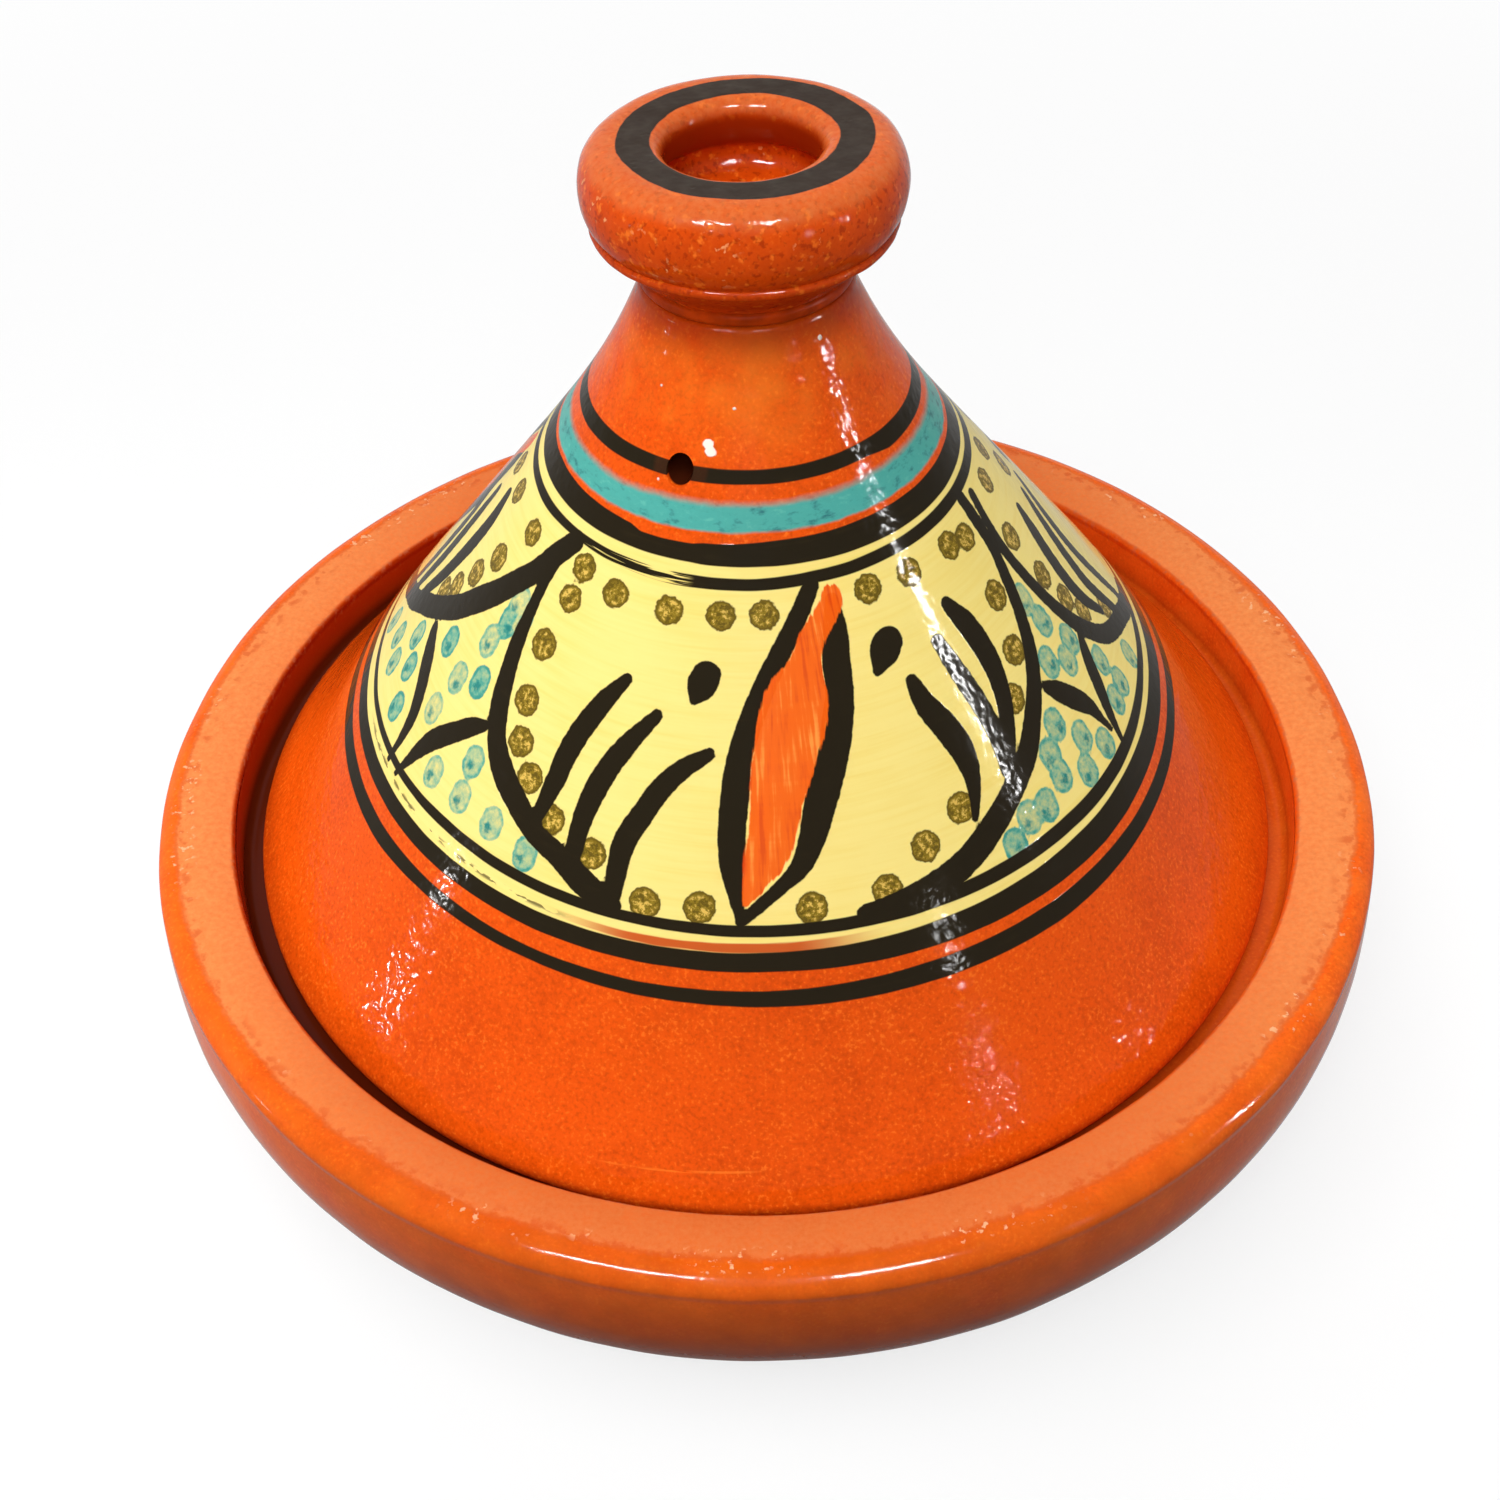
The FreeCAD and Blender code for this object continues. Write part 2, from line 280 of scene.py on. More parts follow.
class TAGINE_PG_colours(bpy.types.PropertyGroup):
    """Colours of the glaze, the clay and the paints."""

    orange: colour_of("Orange glaze", "Glaze on the dish, the cone and the knob", (0.79, 0.087, 0.003))
    burnt: colour_of("Burnt orange", "Glaze where it ran thick and fired darker", (0.55, 0.051, 0.002))
    # Also lightens the rim's top as a painted sheen.
    rim: colour_of("Pale orange", "Glaze where it lies thin on the rim", (0.66, 0.168, 0.043))
    # Also used as painted light on the front of the cone's top.
    fleck_and_painted_light: colour_of("Pale fleck", "Glaze that broke into small light flecks", (0.97, 0.24, 0.02))
    # Also used as painted shade in the seat, in the knob's cup, low on the knob and round the cone's neck.
    pooled_glaze_and_shade: colour_of("Pooled glaze", "Glaze that gathered in the seat and the knob's cup", (0.30, 0.021, 0.0012))
    clay: colour_of("Bare clay", "Fired clay under the foot and inside the lid", (0.46, 0.155, 0.07))
    cream: colour_of("Cream slip", "Ground of the painted field", (0.92, 0.745, 0.235))
    ink: colour_of("Ink", "Brush strokes and rings", (0.017, 0.012, 0.005))
    turquoise: colour_of("Turquoise", "Ring under the crown and the watery dots", (0.062, 0.385, 0.335))
    olive: colour_of("Olive", "Dots along the borders", (0.235, 0.150, 0.008))
    leaf: colour_of("Leaf orange", "Fill of the tall leaves", (0.87, 0.115, 0.004))
    # Painted shade: a browner colour that darkens the front of the dish.
    front_shade: colour_of("Browned glaze", "Glaze on the front of the dish", (0.50, 0.076, 0.004))
    # Painted sheen: the palest colour, laid on the sides of the rim.
    thin: colour_of("Thin glaze", "Palest glaze on the sides of the rim", (0.86, 0.30, 0.085))
    # Painted shade: darkens the dish's wall towards the bottom.
    low_wall_shade: colour_of("Scorched glaze", "Glaze low on the dish's wall", (0.19, 0.027, 0.002))
    # Painted shade at the foot of the seat's wall, beside the lid.
    gap: colour_of("Gap", "Foot of the seat's wall beside the lid", (0.06, 0.008, 0.002))
    # Painted shade inside the steam hole.
    bore_shade: colour_of("Bore", "Inside of the steam hole", (0.04, 0.007, 0.002))
    crust: colour_of("Crust", "Rough flakes of glaze on the rim", (0.82, 0.46, 0.24))
    chip: colour_of("Chip", "Pale chips in the knob's glaze", (0.90, 0.42, 0.15))
    crumb: colour_of("Crumb", "Crumbs of pale glaze at the top of the cone", (0.95, 0.85, 0.74))
    soot: colour_of("Knob ring", "Broad ring painted on the knob", (0.016, 0.016, 0.012))
    worn_soot: colour_of("Worn knob ring", "The knob's ring where it is worn", (0.034, 0.032, 0.025))


class TAGINE_PG_turning(bpy.types.PropertyGroup):
    """How finely the pieces are turned, and how uneven the potter left them."""

    lid_steps: IntProperty(name="Lid steps", description="Faces round the lid", default=560, min=64)
    dish_steps: IntProperty(name="Dish steps", description="Faces round the dish", default=360, min=64)
    knob_steps: IntProperty(name="Knob steps", description="Faces round the knob", default=240, min=48)
    knob_row: FloatProperty(
        name="Knob row", description="Height of a row of faces on the knob", unit="LENGTH", default=0.0015
    )
    paint_row: FloatProperty(
        name="Paint row", description="Height of a row of faces under the paint", unit="LENGTH", default=0.001
    )
    plain_row: FloatProperty(
        name="Plain row", description="Height of a row of faces elsewhere", unit="LENGTH", default=0.0035
    )
    rim_crown: FloatProperty(
        name="Rim crown", description="How far the rim's top bulges", unit="LENGTH", default=0.00035
    )
    dish_waver: FloatProperty(
        name="Dish waver", description="How far the dish's wall strays from round", unit="LENGTH", default=0.0005
    )
    knob_waver: FloatProperty(
        name="Knob waver", description="How far the knob strays from round", unit="LENGTH", default=0.0005
    )


class TAGINE_PG_studio(bpy.types.PropertyGroup):
    """Floor, light and camera."""

    floor: colour_of("Floor", "Colour of the floor", (0.9, 0.9, 0.9))
    bounce: colour_of("Bounce", "Colour of the floor in the light that it throws back", (0.16, 0.16, 0.16))
    floor_size: FloatProperty(
        name="Floor size", description="From the floor's middle to its edge", unit="LENGTH", default=6.0
    )
    fill: FloatProperty(name="Fill", description="Strength of the even light all round", default=0.06, min=0)
    lens: FloatProperty(name="Lens", description="Focal length", subtype="DISTANCE_CAMERA", default=42.81)
    eye: FloatVectorProperty(
        name="Eye", description="Place of the camera", subtype="TRANSLATION", default=(0.0, -0.2895, 0.3427)
    )
    aim: FloatVectorProperty(
        name="Aim",
        description="Turn, tilt and roll of the camera",
        subtype="EULER",
        default=(math.radians(0.532), math.radians(45.105), math.radians(-2.214)),
    )


class Shade:
    """A socket of a material's nodes. Sums and products of it add Math nodes."""

    def __init__(self, tree, socket=None):
        self.tree = tree
        self.socket = socket

    def add(self, kind, settings, inputs, output=0):
        """Adds a node, sets it up, feeds its sockets and gives one of its outputs."""
        node = self.tree.nodes.new(kind)
        for name, value in settings.items():
            setattr(node, name, value)
        for name, value in inputs.items():
            if isinstance(value, Shade):
                self.tree.links.new(value.socket, node.inputs[name])
            else:
                node.inputs[name].default_value = value
        return Shade(self.tree, node.outputs[output])

    def other(self, output):
        """Another output of the same node."""
        return Shade(self.tree, self.socket.node.outputs[output])

    def math(self, operation, *values):
        return self.add("ShaderNodeMath", {"operation": operation}, dict(enumerate(values)))

    def __add__(self, value):
        return self.math("ADD", self, value)

    def __radd__(self, value):
        return self.math("ADD", value, self)

    def __sub__(self, value):
        return self.math("SUBTRACT", self, value)

    def __rsub__(self, value):
        return self.math("SUBTRACT", value, self)

    def __mul__(self, value):
        return self.math("MULTIPLY", self, value)

    def __rmul__(self, value):
        return self.math("MULTIPLY", value, self)

    def __or__(self, value):
        return self.math("MAXIMUM", self, value)

    def fade(self, start, end):
        """0 before start, 1 past end and smooth between. The two may run downwards."""
        return self.add(
            "ShaderNodeMapRange",
            {"interpolation_type": "SMOOTHSTEP"},
            {"Value": self, "From Min": start, "From Max": end},
        )

    def within(self, low, high, soft):
        """1 between two values, with soft edges."""
        return self.fade(low - soft, low + soft) * self.fade(high + soft, high - soft)

    def over(self, ground, colour):
        """A colour laid over another by this amount."""
        return self.add("ShaderNodeMix", {"data_type": "RGBA"}, {0: self, 6: ground, 7: colour}, 2)


class Glaze:
    """A new material with the places on a turned piece that its colours follow."""

    def __init__(self, name):
        self.material = bpy.data.materials.new(name)
        self.material.use_nodes = True
        tree = self.material.node_tree
        self.shader = tree.nodes["Principled BSDF"]
        self.root = Shade(tree)
        self.place = self.root.add("ShaderNodeTexCoord", {}, {}, "Object")
        x = self.root.add("ShaderNodeSeparateXYZ", {}, {"Vector": self.place}, "X")
        self.x, self.y, self.z = x * MM, x.other("Y") * MM, x.other("Z") * MM
        self.turn = self.root.math("ARCTAN2", self.x, 0 - self.y)
        self.radius = self.root.math("SQRT", self.x * self.x + self.y * self.y)

    def grain(self, size, detail=2.0, stretch=(1, 1, 1), rough=0.5):
        """Noise from -1 to 1 with spots about size millimetres wide."""
        scale = tuple(MM / size / s for s in stretch)
        place = self.root.add("ShaderNodeMapping", {}, {"Vector": self.place, "Scale": scale})
        spots = self.root.add(
            "ShaderNodeTexNoise", {}, {"Vector": place, "Scale": 1.0, "Detail": detail, "Roughness": rough}
        )
        return (spots - 0.5) * 2.0

    def drawn(self, across, along):
        """Noise from -1 to 1 drawn out up the slope of the cone, its streaks across and along millimetres."""
        place = self.root.add("ShaderNodeCombineXYZ", {}, {0: self.turn * (60 / across), 1: self.z * (1 / along)})
        return (self.root.add("ShaderNodeTexNoise", {}, {"Vector": place, "Scale": 1.0}) - 0.5) * 2.0

    def mark(self, name):
        """A distance or strength that the brush left on the mesh."""
        return self.root.add("ShaderNodeAttribute", {"attribute_name": name}, {}, "Fac")

    def near(self, turn, height, width):
        """Distance in millimetres from the edge of a round spot on the cone."""
        across = (self.turn - math.radians(turn)) * self.radius
        up = (self.z - height) * SLANT
        return self.root.math("SQRT", across * across + up * up) - width / 2

    def round_from(self, low, high, soft):
        """1 between two turns in degrees."""
        return self.turn.within(math.radians(low), math.radians(high), math.radians(soft))

    def fired(self, colours):
        """Orange glaze, mottled and speckled as it came from the kiln."""
        flow = self.grain(46) * 0.5 + self.grain(13) * 0.4 + self.grain(1.5, 4, rough=0.65) * 0.75
        colour = flow.fade(-0.25, 0.9).over(tuple(colours.orange), tuple(colours.burnt))
        sand = self.grain(0.75, 1) + self.grain(17) * 0.2
        colour = (sand.fade(0.0, 0.7) * 0.6).over(colour, tuple(colours.burnt))
        colour = (sand.fade(-0.1, -0.7) * 0.5).over(colour, tuple(colours.fleck_and_painted_light))
        pits = self.grain(2.6, 2).fade(0.6, 0.8)
        return (pits * 0.6).over(colour, tuple(colours.pooled_glaze_and_shade))

    def finish(self, colour, rough, height, gloss):
        """Joins colour, roughness and relief in millimetres to the shader."""
        links = self.material.node_tree.links
        relief = self.root.add("ShaderNodeBump", {}, {"Strength": 1.0, "Distance": 1 / MM, "Height": height}, "Normal")
        for name, value in (("Base Color", colour), ("Roughness", rough), ("Normal", relief)):
            links.new(value.socket, self.shader.inputs[name])
        self.shader.inputs["Specular IOR Level"].default_value = gloss
        return self.material


def shaded(colour, red, green, blue):
    """A colour with each of its parts made stronger or weaker."""
    return (colour[0] * red, colour[1] * green, colour[2] * blue, 1)


def bare_clay(colours):
    """Unglazed clay, with grog and the lines of the potter's fingers. The dish and the cone share it."""
    if "bare_clay" in bpy.data.materials:
        return bpy.data.materials["bare_clay"]
    clay = Glaze("bare_clay")
    soot = clay.grain(30) * 0.5 + clay.grain(1.2, 4) * 0.5
    colour = soot.fade(-0.2, 0.9).over(tuple(colours.clay), shaded(colours.clay, 0.6, 0.6, 0.6))
    lines = clay.grain(3, 1, (14, 14, 1))
    return clay.finish(colour, clay.grain(5) * 0.06 + 0.78, lines * 0.05 + clay.grain(0.8, 3) * 0.03, gloss=0.1)


def dish_glaze(colours):
    """Glaze of the dish: glossy and lumpy on the wall, thin and pale on the rim with a painted sheen, and painted shade
    on its front, low on its wall and in the seat.
    """
    glaze = Glaze("dish_glaze")
    colour = (glaze.grain(9, 3) * 0.3 + 0.22).over(glaze.fired(colours), tuple(colours.fleck_and_painted_light))
    # Painted shade: the front of the dish is darkened to a browner glaze.
    front = glaze.y.fade(-70, -130)
    colour = (front * (glaze.grain(7, 3) * 0.5 + 0.5)).over(colour, tuple(colours.front_shade))
    on_rim = glaze.z.fade(50, 53) * (glaze.radius + glaze.grain(5) * 0.4).fade(119.2, 120)
    drag = glaze.grain(1.2, 2, (1, 1, 6)) * 0.7 + glaze.grain(11, 2) * 1.1
    # The rim's top is pale from thin glaze and from a painted sheen that reaches further out towards the back.
    pale = on_rim * (glaze.radius + drag - glaze.y.fade(-130, 0) * 1.8).fade(130.3, 128.7)
    colour = (pale * (glaze.grain(0.9, 3, rough=0.65) * 0.6 + 0.75)).over(colour, tuple(colours.rim))
    # Painted sheen: the sides of the rim are lightened further.
    side_sheen = pale * (glaze.x * glaze.x).fade(2000, 15000)
    colour = (side_sheen * (glaze.grain(1.2, 3) * 0.5 + 0.5)).over(colour, tuple(colours.thin))
    blotch = glaze.radius.fade(126, 129.5) * glaze.grain(2.4, 3).fade(0.0, 0.3) * 0.55
    colour = (pale * (blotch | (1 - pale) * 1.3)).over(colour, tuple(colours.burnt))
    flakes = glaze.grain(1.5, 2).fade(0.18, 0.35) * glaze.grain(15).fade(0.02, 0.25)
    crust = flakes * on_rim * glaze.radius.within(127.5, 132.5, 1)
    colour = (crust * 0.8).over(colour, tuple(colours.crust))
    # Glaze gathered in the seat, with painted shade there that is weaker towards the right and darkest beside the lid's
    # edge.
    seat = glaze.z.fade(20, 38) * glaze.radius.fade(119.9, 119.3)
    right = glaze.x.fade(10, 110)
    colour = (seat * (0.9 - right * 0.8)).over(colour, tuple(colours.pooled_glaze_and_shade))
    colour = (seat * glaze.z.fade(47, 42.5) * (0.85 - right * 0.6)).over(colour, tuple(colours.gap))
    worn = (glaze.radius + glaze.grain(4) * 0.5).within(119.2, 120.0, 0.35) * glaze.z.fade(50, 53)
    colour = (worn * glaze.grain(1.4, 3).fade(-0.1, 0.5) * 0.6).over(colour, tuple(colours.clay))
    # Painted shade: the wall darkens towards the bottom, more at the front and in the middle.
    low = glaze.z + glaze.grain(18) * 4 + glaze.grain(3, 3) * 3 + glaze.x * glaze.x * 0.0015
    foot = (low - front * 6).fade(50, 20) * glaze.radius.fade(100, 104) * glaze.z.fade(52, 48)
    colour = (foot * 0.85).over(colour, tuple(colours.low_wall_shade))
    rough = glaze.grain(9) * 0.04 + 0.1 + pale * 0.2 + foot * 0.2
    height = glaze.grain(14, 1) * 0.10 + glaze.grain(3.2, 2, (8, 8, 1)) * 0.03 + glaze.grain(1.3, 1) * 0.012
    lip = glaze.radius.fade(133.9, 136.4) + glaze.radius.fade(133.9, 131.4)
    height = height + crust * 0.05 + lip * glaze.z.fade(51.5, 53) * 0.22
    return glaze.finish(colour, rough, height, gloss=0.05)


def knob_glaze(colours):
    """Glaze of the knob with its broad painted ring on top, and painted shade in its cup and low on the knob."""
    glaze = Glaze("knob_glaze")
    colour = glaze.fired(colours)
    ring = (glaze.radius + glaze.grain(12) * 0.7 + glaze.grain(2) * 0.15 - glaze.x * 0.03).within(16.2, 22.2, 0.15)
    ring = ring * glaze.z.fade(199.2, 199.8)
    cup = glaze.radius.fade(18.2, 17.4) * glaze.z.fade(201, 198) * glaze.z.fade(190.5, 194)
    colour = (glaze.grain(5, 3) * 0.4 + 0.65).over(colour, tuple(colours.burnt))
    colour = (glaze.grain(1.1, 2).fade(0.05, 0.4) * 0.6).over(colour, tuple(colours.pooled_glaze_and_shade))
    colour = (glaze.grain(1.6, 2).fade(0.15, 0.5) * 0.55).over(colour, tuple(colours.fleck_and_painted_light))
    chips = glaze.grain(1.5, 2).fade(0.2, 0.36) * glaze.grain(10).fade(0.08, 0.3) * glaze.z.within(190, 199, 2)
    colour = (chips * 0.7).over(colour, tuple(colours.chip))
    worn = (glaze.z + glaze.grain(4) * 0.8).fade(198.5, 200.8) * (glaze.grain(1.2, 3) * 0.5 + 0.55)
    colour = worn.over(colour, tuple(colours.rim))
    # Painted shade in the cup and on the lower part of the knob.
    colour = (cup | (glaze.z.fade(194, 181) * glaze.radius.fade(19, 22) * 0.6)).over(colour, tuple(colours.pooled_glaze_and_shade))
    soot = glaze.grain(3, 3).fade(-0.4, 0.8).over(tuple(colours.soot), tuple(colours.worn_soot))
    colour = (ring * 0.98).over(colour, soot)
    rough = glaze.grain(9) * 0.04 + 0.1 + ring * 0.4
    pits = glaze.grain(3.2, 1).fade(0.35, 0.55)
    height = glaze.grain(7, 2) * 0.10 + glaze.grain(2.2, 1) * 0.03 + glaze.grain(1.1, 1) * 0.012 - pits * 0.06
    return glaze.finish(colour, rough, height, gloss=0.05)


def lid_glaze(colours):
    """Painted glaze of the cone: cream field, rings, brush strokes and dots, with painted light on the front of its top
    and a painted shadow round its neck.
    """
    glaze = Glaze("painted_lid_glaze")
    orange = glaze.fired(colours)
    ink, cream, turquoise = (tuple(c) for c in (colours.ink, colours.cream, colours.turquoise))
    brush = glaze.grain(0.9, 2, (26, 26, 1))
    hair = glaze.grain(0.4, 2, (30, 30, 1))
    edge = glaze.grain(1.5, 2)
    height = glaze.z + glaze.grain(9, 1) * 0.12

    def ring(name, soft, ragged):
        return (height + ragged).within(glaze.mark(name + "_low"), glaze.mark(name + "_high"), soft)

    field = (height + brush * 0.1).within(glaze.mark("lower_high") - 0.1, glaze.mark("upper_low") + 0.1, 0.12)
    streaks = brush * 0.55 + hair * 0.3 + glaze.grain(22) * 0.5
    ground = streaks.fade(-0.3, 0.9).over(cream, shaded(cream, 0.95, 0.87, 0.6))
    ground = streaks.fade(-0.25, -0.8).over(ground, shaded(cream, 1.03, 1.06, 1.25))
    # Painted light: the top of the cone is lightened with flecks, most at the front.
    light = glaze.grain(6, 3) * 0.5 + 0.1 + glaze.round_from(-20, 20, 20) * 0.25
    crest_flecks_and_light = (glaze.z + glaze.grain(12) * 6).fade(150, 168) * light
    orange = crest_flecks_and_light.over(orange, tuple(colours.fleck_and_painted_light))
    # Painted shadow round the cone's neck under the knob.
    orange = ((glaze.z + glaze.grain(6)).fade(169, 176.5) * 0.7).over(orange, tuple(colours.pooled_glaze_and_shade))
    colour = field.over(orange, ground)
    smear = (height + brush * 0.7).within(85.2, 86.6, 0.2) * glaze.round_from(-24, 10, 7)
    smear = smear * (hair * 0.7 + brush).fade(-0.9, -0.4)
    colour = (smear * 0.92).over(colour, tuple(colours.burnt))
    # A thin pale arc low on the front of the lid.
    pale_arc = (glaze.z - glaze.x * 0.035).within(52.3, 52.6, 0.12) * glaze.x.within(-32, -4, 3)
    pale_arc = pale_arc * hair.fade(-0.3, 0.1)
    colour = (pale_arc * 0.6).over(colour, tuple(colours.fleck_and_painted_light))

    bleed = height + brush * 0.22 + glaze.grain(2.5) * 0.25
    band = bleed.fade(glaze.mark("wash_low") - 0.3, glaze.mark("wash_low") + 0.3)
    band = band * bleed.fade(glaze.mark("wash_high") + 0.5, glaze.mark("wash_high") - 1.1)
    specks = glaze.grain(1.3, 3, (2.2, 2.2, 1), 0.65) + glaze.grain(6) * 0.5
    soaked = (specks.fade(0.0, 0.55) * 0.9).over(turquoise, shaded(turquoise, 0.25, 0.4, 0.5))
    soaked = (specks.fade(-0.15, -0.6) * 0.5).over(soaked, shaded(turquoise, 2.2, 1.4, 1.3))
    colour = (band * 0.98).over(colour, soaked)

    wash = glaze.mark("wash") + glaze.grain(1.8, 2) * 0.35 - SPREAD
    pool = (glaze.mark("wash_pool") + glaze.grain(1.2, 2) * 1.1).fade(0.6, -0.5)
    body = glaze.mark("wash_depth") * 0.75 + glaze.grain(1.4, 3, rough=0.65) * 0.7
    body = body + wash.within(-0.7, 0.1, 0.3) * 0.3
    soaked = wash.fade(0.18, -0.18) * (body + pool * 0.45).fade(-0.4, 1.0)
    watery = shaded(turquoise, 1.19, 0.96, 0.86)
    tint = (pool * 0.9 + body.fade(0.6, 1.1) * 0.5).over(watery, shaded(turquoise, 0.37, 0.52, 0.53))
    colour = soaked.over(colour, tint)

    dot = glaze.mark("dot") + glaze.grain(1.3, 2) * 0.55 - SPREAD
    curdle = glaze.grain(1.1, 3, rough=0.7)
    olive = tuple(colours.olive)
    gilt = (curdle.fade(0.02, 0.24) * dot.fade(-0.4, -1.0)).over(olive, shaded(olive, 3.0, 3.1, 11))
    gilt = ((curdle.fade(0.0, -0.2) | dot.fade(-0.8, -0.2)) * 0.8).over(gilt, shaded(olive, 0.32, 0.3, 0.3))
    colour = (dot.fade(0.15, -0.15) * 0.97).over(colour, gilt)

    dry = brush * glaze.grain(16).fade(0.0, 0.6) * 0.4 + brush * 0.08
    scraped = glaze.round_from(-47, -17, 2) * hair.fade(0.1, 0.3)
    rims = ring("upper", 0.1, dry * 0.5) | (ring("eave", 0.1, dry) * (1 - scraped)) | ring("sill", 0.1, dry * 0.4)
    rims = rims | ring("lower", 0.1, dry * 0.6) | ring("skirt", 0.12, dry * 0.5)
    ticks = height.within(85.7, 86.3, 0.3) * glaze.round_from(-76, -28, 3)
    ticks = ticks * glaze.grain(1.5, 2, (2.2, 2.2, 0.5)).fade(0.0, 0.12)
    halo = glaze.near(*STEAM_HOLE, 9).fade(1.2, 0.2)
    crown = ring("crown", 0.12, brush * 0.08) * (1 - halo * 0.03)
    stroke = (glaze.mark("ink") + edge * 0.22 - SPREAD).fade(0.13, -0.13)
    inked = rims | crown | stroke | (ticks * 0.8)
    thin = (brush * 0.5 + glaze.grain(7) * 0.5).fade(0.1, 0.9)
    colour = inked.over(colour, (thin * 0.35).over(ink, shaded(ink, 3.0, 2.8, 2.2)))

    bristle = glaze.drawn(1.4, 12) + glaze.drawn(0.7, 9) * 0.5 + brush * 0.15
    leaf = (glaze.mark("leaf") + edge * 0.2 + bristle * 0.8 - SPREAD).fade(0.2, -0.2)
    red = tuple(colours.leaf)
    paint = bristle.fade(0.05, 0.55).over(red, shaded(red, 1.1, 2.6, 12))
    paint = bristle.fade(-0.05, -0.5).over(paint, shaded(red, 0.85, 0.55, 1))
    colour = (leaf * 0.97).over(colour, paint)

    crumb = None
    for spot in CRUMBS:
        bit = (glaze.near(*spot) + edge * 0.5).fade(0.15, -0.15)
        crumb = bit if crumb is None else crumb | bit
    colour = crumb.over(colour, tuple(colours.crumb))
    # Painted shade inside the steam hole.
    bore_shade = glaze.near(*STEAM_HOLE, 9).fade(0.2, -0.2) * (glaze.radius + glaze.z * 0.64).fade(129.3, 128.7)
    colour = bore_shade.over(colour, tuple(colours.bore_shade))

    rough = glaze.grain(8) * 0.03 + 0.08 + inked * 0.02
    lumps = glaze.grain(1.1, 0) * 0.015 + glaze.grain(2.6, 0) * 0.03
    relief = lumps * (glaze.z.fade(138, 150) * 1.2 + glaze.z.fade(76, 66) * 0.9 + 1) + glaze.grain(22, 0) * 0.1
    return glaze.finish(colour, rough, relief + inked * 0.02 + crumb * 0.15, gloss=0.05)


def luting_glaze(colours):
    """Glaze gathered over the joint under the knob, darkened all over as painted shade."""
    glaze = Glaze("luting_glaze")
    # Painted shade: the whole ring is darkened where it sits under the knob.
    dark = shaded(colours.burnt, 0.35, 0.35, 0.35)
    colour = (glaze.grain(4, 3) * 0.5 + 0.5).fade(0, 1).over(tuple(colours.burnt), dark)
    return glaze.finish(colour, glaze.grain(4) * 0.05 + 0.35, glaze.grain(2.5, 2) * 0.08, gloss=0.05)


def turned(node, steps):
    """Spins a CAD node's own section into even faces."""
    piece = bmesh.new()
    piece.from_mesh(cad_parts[node].data)
    bmesh.ops.remove_doubles(piece, verts=piece.verts, dist=MERGE)
    for normal, both in (((0, 1, 0), True), ((1, 0, 0), False)):
        bmesh.ops.bisect_plane(
            piece,
            geom=piece.verts[:] + piece.edges[:] + piece.faces[:],
            dist=MERGE,
            plane_co=(0, 0, 0),
            plane_no=normal,
            clear_inner=True,
            clear_outer=both,
        )
    wheel = {"cent": (0, 0, 0), "axis": (0, 0, 1)}
    slice_turn = math.tau / SLICES
    outline = piece.verts[:] + piece.edges[:]
    bmesh.ops.spin(piece, geom=outline, angle=slice_turn, steps=steps // SLICES, use_merge=False, **wheel)
    one_slice = piece.verts[:] + piece.edges[:] + piece.faces[:]
    bmesh.ops.spin(
        piece, geom=one_slice, angle=math.tau - slice_turn, steps=SLICES - 1, use_duplicate=True, **wheel
    )
    bmesh.ops.remove_doubles(piece, verts=piece.verts, dist=MERGE)
    bmesh.ops.recalc_face_normals(piece, faces=piece.faces)
    piece.normal_update()
    return piece


def upright(edge):
    """Whether an edge runs up the wall, and not round it."""
    a, b = (v.co for v in edge.verts)
    return abs(a.x * b.y - b.x * a.y) < RADIAL


def outward(vert):
    """Whether the wall faces away from the axis here."""
    return vert.normal.x * vert.co.x + vert.normal.y * vert.co.y > 0


def add_rows(piece, row, low=-1.0, high=1.0):
    """Splits the wall between two heights into rows, on the curve that its normals give."""
    runs = {}
    for edge in piece.edges:
        cuts = int(edge.calc_length() / row)
        middle = (edge.verts[0].co.z + edge.verts[1].co.z) / 2
        if cuts and low < middle < high and upright(edge) and all(outward(v) for v in edge.verts):
            runs.setdefault(cuts, []).append(edge)
    for cuts, edges in sorted(runs.items()):
        bmesh.ops.subdivide_edges(
            piece, edges=edges, cuts=cuts, smooth=0.25, smooth_falloff="INVERSE_SQUARE", use_grid_fill=True
        )


def crown_rim(piece, bulge):
    """Rounds the rim's flat top into a low crown that falls away towards the seat."""
    on_rim = [e for e in piece.edges if upright(e) and all(v.co.z > RIM_FOOT for v in e.verts)]
    flat = [e for e in on_rim if e.calc_length() > RIM_FLAT]
    bmesh.ops.subdivide_edges(piece, edges=flat, cuts=RIM_ROWS, use_grid_fill=True)
    for vert in piece.verts:
        if vert.co.z > RIM_FOOT:
            off_crest = min(1.0, (math.hypot(vert.co.x, vert.co.y) - RIM_CREST) / RIM_FALL)
            vert.co.z += bulge * (1 - off_crest * off_crest)


def waver(piece, amount, size):
    """Draws the wall in here and there, as a hand-thrown wall is."""
    for vert in piece.verts:
        lump = noise.noise(vert.co / size) + 0.5 * noise.noise(vert.co / size * 2.7)
        share = min(1.0, max(0.0, 0.5 + 0.5 * lump))
        radius = math.hypot(vert.co.x, vert.co.y)
        if radius > amount:
            inward = 1 - amount * share / radius
            vert.co.x *= inward
            vert.co.y *= inward


